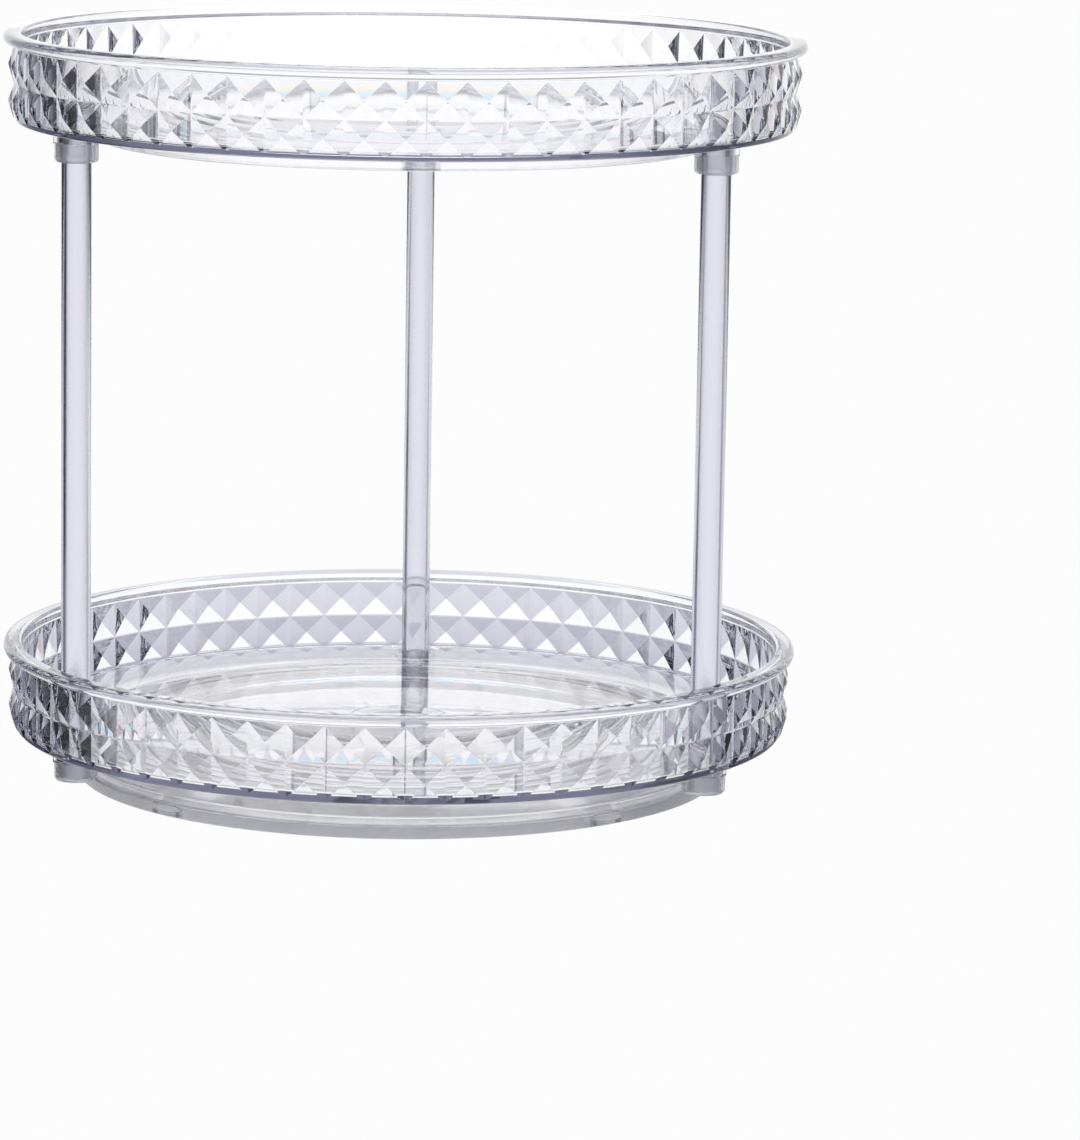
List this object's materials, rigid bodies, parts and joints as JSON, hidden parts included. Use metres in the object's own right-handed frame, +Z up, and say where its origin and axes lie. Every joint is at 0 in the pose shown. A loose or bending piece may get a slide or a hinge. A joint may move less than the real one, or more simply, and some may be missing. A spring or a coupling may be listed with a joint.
{
  "type": "lazy susan turntable",
  "caption": "Two-tier clear plastic turntable: round trays with faceted walls, joined by posts, spinning together on a ball race over a low round base.",
  "frame": {"origin": "centre of the footprint, on the surface that the pads stand on", "axes": "+Z up along the spin axis; the back post lies on +Y, and -Y is the front"},
  "size_m": [0.235, 0.235, 0.22],
  "materials": {
    "clear_tray": "clear moulded, polished, faint lavender tint",
    "clear_base": "clear moulded, polished",
    "clear_post": "clear drawn tube, polished",
    "clear_nut": "clear moulded, polished",
    "cage_plastic": "translucent natural plastic",
    "pin_plastic": "clear moulded",
    "bearing_steel": "polished steel",
    "washer_steel": "plain",
    "pad_rubber": "translucent soft pad"
  },
  "bodies": {
    "base": {"base_plate": "clear_base", "pivot_washer": "washer_steel", "pivot_pin": "pin_plastic", "base_pad_1": "pad_rubber", "base_pad_2": "pad_rubber", "base_pad_3": "pad_rubber", "base_pad_4": "pad_rubber"},
    "cage": {"ball_cage": "cage_plastic", "bearing_balls": "bearing_steel"},
    "carousel": {"lower_tray": "clear_tray", "upper_tray": "clear_tray", "centre_cap": "clear_tray", "post_back": "clear_post", "post_right": "clear_post", "post_left": "clear_post", "upper_collar_back": "clear_nut", "upper_collar_right": "clear_nut", "upper_collar_left": "clear_nut", "foot_cap_back": "clear_nut", "foot_cap_right": "clear_nut", "foot_cap_left": "clear_nut"}
  },
  "joints": [
    {"name": "tray_spin", "type": "hinge", "parent": "base", "child": "carousel", "pos_m": [0, 0, 0.0092], "axis": [0, 0, 1], "continuous": true},
    {"name": "cage_spin", "type": "hinge", "parent": "base", "child": "cage", "pos_m": [0, 0, 0.0092], "axis": [0, 0, 1], "continuous": true}
  ],
  "couplings": [
    {"joint": "cage_spin", "follows": "tray_spin", "ratio": 0.5}
  ]
}
